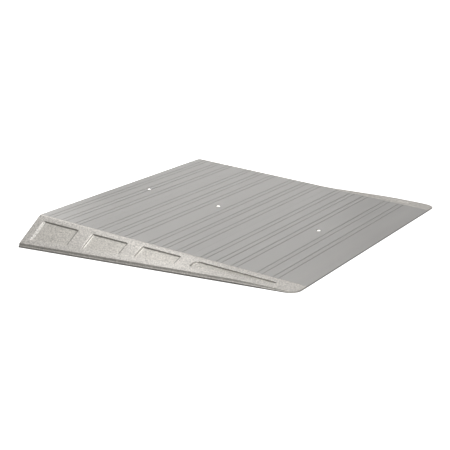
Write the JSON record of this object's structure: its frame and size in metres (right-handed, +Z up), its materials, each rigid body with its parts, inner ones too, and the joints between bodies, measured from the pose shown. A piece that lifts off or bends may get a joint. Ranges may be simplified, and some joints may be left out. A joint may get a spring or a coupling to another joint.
{
  "type": "wheelchair threshold ramp",
  "caption": "Low aluminium wheelchair threshold ramp: a grooved deck of extruded planks between bevelled cast side wings, on rubber foot strips.",
  "frame": {"origin": "centre of the footprint, on the ground under the foot strips", "axes": "+X across the ramp along its longest side, +Y up the slope towards the door sill, +Z up"},
  "size_m": [1.1384, 0.9144, 0.078],
  "materials": {
    "extruded_aluminium": "satin mill finish with fine lines along the extrusion, across the ramp",
    "cast_aluminium": "as cast and tumbled: dull with a fine warm grey speckle",
    "stainless_steel": "bright machined",
    "black_rubber": "matt moulded"
  },
  "bodies": {
    "root": {"rear_plank": "extruded_aluminium", "middle_plank": "extruded_aluminium", "toe_plank": "extruded_aluminium", "side_wing_left": "cast_aluminium", "side_wing_right": "cast_aluminium", "centre_stringer": "extruded_aluminium", "deck_screw_1": "stainless_steel", "deck_screw_2": "stainless_steel", "deck_screw_3": "stainless_steel", "shelf_screw_left_1": "stainless_steel", "shelf_screw_left_2": "stainless_steel", "shelf_screw_left_3": "stainless_steel", "shelf_screw_left_4": "stainless_steel", "shelf_screw_left_5": "stainless_steel", "shelf_screw_left_6": "stainless_steel", "shelf_screw_right_1": "stainless_steel", "shelf_screw_right_2": "stainless_steel", "shelf_screw_right_3": "stainless_steel", "shelf_screw_right_4": "stainless_steel", "shelf_screw_right_5": "stainless_steel", "shelf_screw_right_6": "stainless_steel", "foot_strip_left_outer": "black_rubber", "foot_strip_left_inner": "black_rubber", "foot_strip_right_outer": "black_rubber", "foot_strip_right_inner": "black_rubber", "foot_strip_centre_left": "black_rubber", "foot_strip_centre_right": "black_rubber"}
  },
  "joints": []
}
